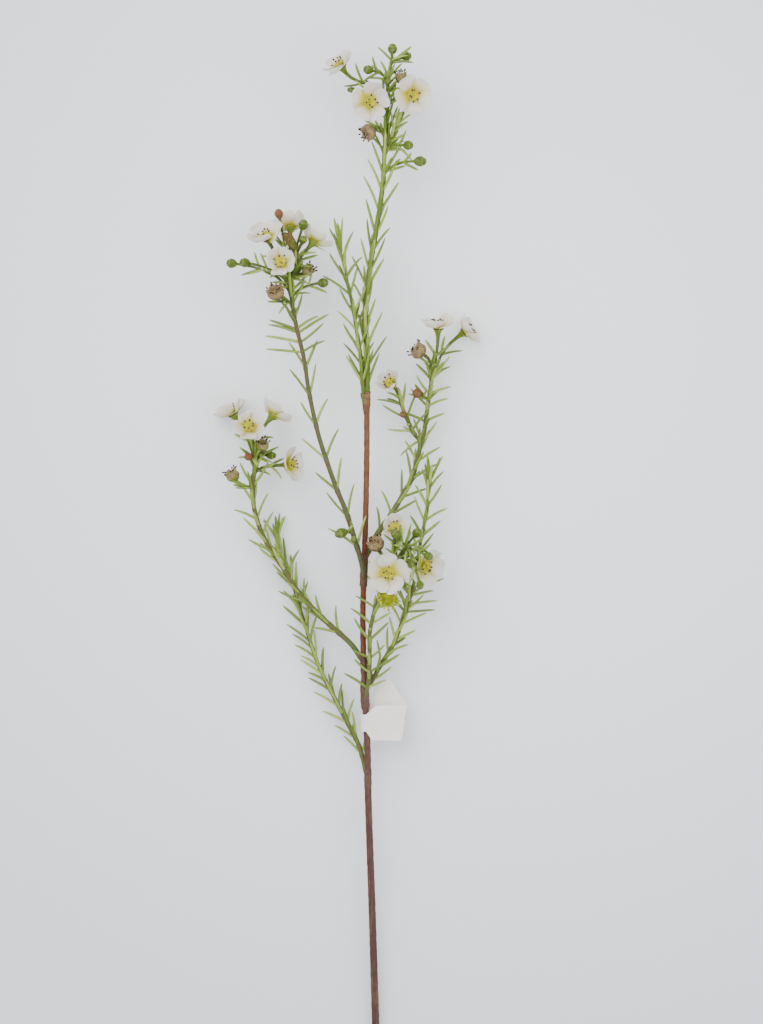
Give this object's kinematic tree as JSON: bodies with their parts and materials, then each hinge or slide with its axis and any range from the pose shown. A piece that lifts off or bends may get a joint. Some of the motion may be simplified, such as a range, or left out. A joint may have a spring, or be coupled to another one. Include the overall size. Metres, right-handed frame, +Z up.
{
  "type": "artificial waxflower stem",
  "caption": "Artificial waxflower stem lying down: taped wire stem with needle-leaved green sprays, small white five-petal blooms, buds, spent heads and a blank paper label.",
  "frame": {"origin": "middle of the bounding box in X and Y, on the surface the stem lies on", "axes": "+Y along the main stem from the cut end to the tip, +X to the right in the picture, +Z up from the surface, towards the camera"},
  "size_m": [0.1822, 0.7108, 0.0652],
  "materials": {
    "stem_tape": "red-brown crepe floral tape, matte",
    "collar_tape": "tan floral tape, matte",
    "spray_green": "satin moulded green plastic with yellower edges",
    "petal_white": "thin white fabric petals, slightly translucent",
    "centre_yellow": "yellow-green plastic cup with dark-tipped stamens",
    "spent_brown": "dry brown plastic",
    "spent_olive": "olive brown plastic",
    "cup_green": "green plastic cup with dark stamens",
    "label_paper": "blank white paper"
  },
  "bodies": {
    "root": {"main_stem": "stem_tape", "collar": "collar_tape", "label": "label_paper", "tall_spray": "spray_green", "twin_spray": "spray_green", "left_upper_spray": "spray_green", "left_mid_spray": "spray_green", "lower_left_spray": "spray_green", "right_upper_spray": "spray_green", "centre_spray": "spray_green", "right_spray": "spray_green", "bloom_01_petals": "petal_white", "bloom_02_petals": "petal_white", "bloom_03_petals": "petal_white", "bloom_04_petals": "petal_white", "bloom_05_petals": "petal_white", "bloom_06_petals": "petal_white", "bloom_07_petals": "petal_white", "bloom_08_petals": "petal_white", "bloom_09_petals": "petal_white", "bloom_10_petals": "petal_white", "bloom_11_petals": "petal_white", "bloom_12_petals": "petal_white", "bloom_13_petals": "petal_white", "bloom_14_petals": "petal_white", "bloom_15_petals": "petal_white", "bloom_16_petals": "petal_white", "bloom_17_petals": "petal_white", "bloom_01_centre": "centre_yellow", "bloom_02_centre": "centre_yellow", "bloom_03_centre": "centre_yellow", "bloom_04_centre": "centre_yellow", "bloom_05_centre": "centre_yellow", "bloom_06_centre": "centre_yellow", "bloom_07_centre": "centre_yellow", "bloom_08_centre": "centre_yellow", "bloom_09_centre": "centre_yellow", "bloom_10_centre": "centre_yellow", "bloom_11_centre": "centre_yellow", "bloom_12_centre": "centre_yellow", "bloom_13_centre": "centre_yellow", "bloom_14_centre": "centre_yellow", "bloom_15_centre": "centre_yellow", "bloom_16_centre": "centre_yellow", "bloom_17_centre": "centre_yellow", "spent_head_01": "cup_green", "spent_head_02": "spent_brown", "spent_head_03": "spent_olive", "spent_head_04": "cup_green", "spent_head_05": "spent_brown", "spent_head_06": "cup_green", "spent_head_07": "cup_green", "spent_head_08": "spent_brown", "spent_head_09": "spent_brown", "spent_head_10": "cup_green"}
  },
  "joints": []
}
